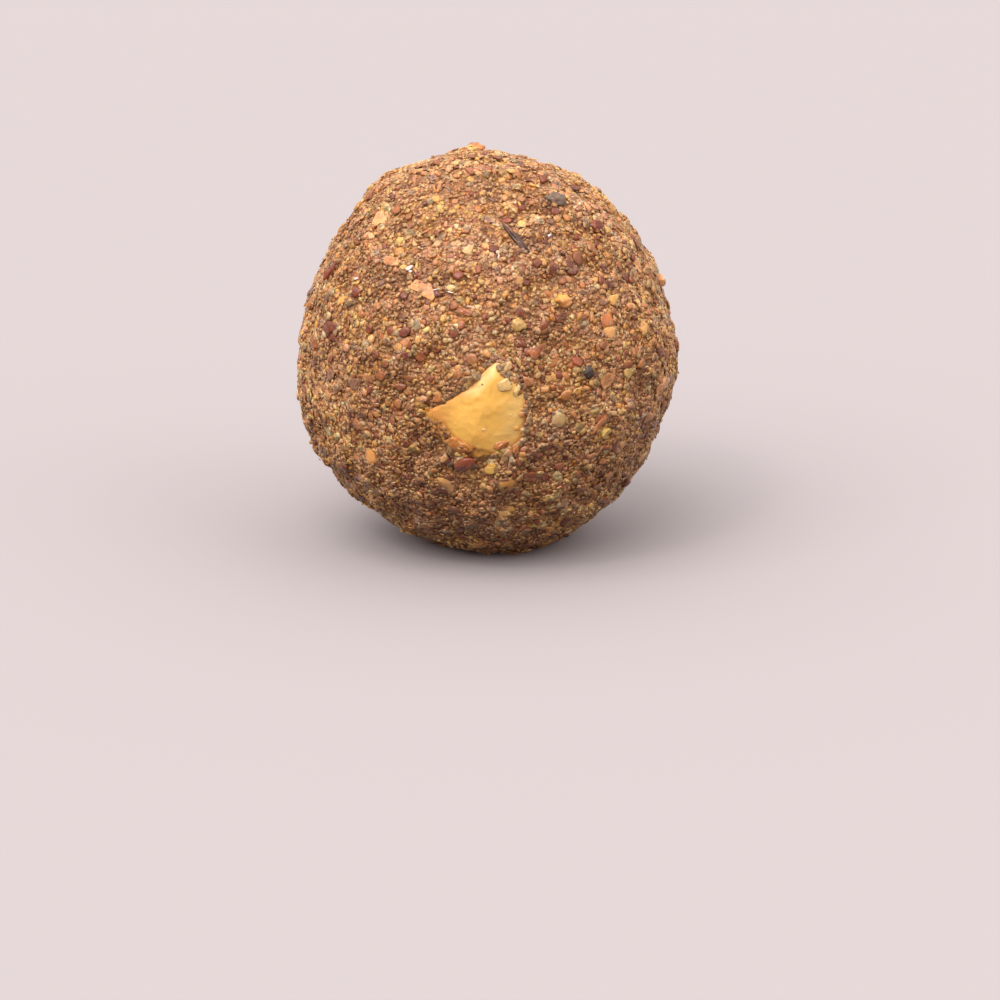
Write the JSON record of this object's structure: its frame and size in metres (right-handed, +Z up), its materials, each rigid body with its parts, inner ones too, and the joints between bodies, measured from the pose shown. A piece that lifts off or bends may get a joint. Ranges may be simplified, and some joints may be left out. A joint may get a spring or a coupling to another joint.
{
  "type": "flaxseed ladoo",
  "caption": "Hand-rolled round sweet of ground flaxseed and nuts with a grainy surface and a broken cashew piece showing in its side.",
  "frame": {"origin": "middle of the small flat spot that the ball rests on", "axes": "+Z up, -Y towards the cashew piece on the front, +X to the right seen from the front"},
  "size_m": [0.0401, 0.0404, 0.042],
  "materials": {
    "flaxseed_meal": "coarse sticky meal of tan and golden grains with red-brown husk flakes, softly glossy with syrup",
    "cashew": "smooth broken nut, buttery yellow, slightly waxy"
  },
  "bodies": {
    "root": {"ladoo_ball": "flaxseed_meal", "cashew_piece": "cashew"}
  },
  "joints": []
}
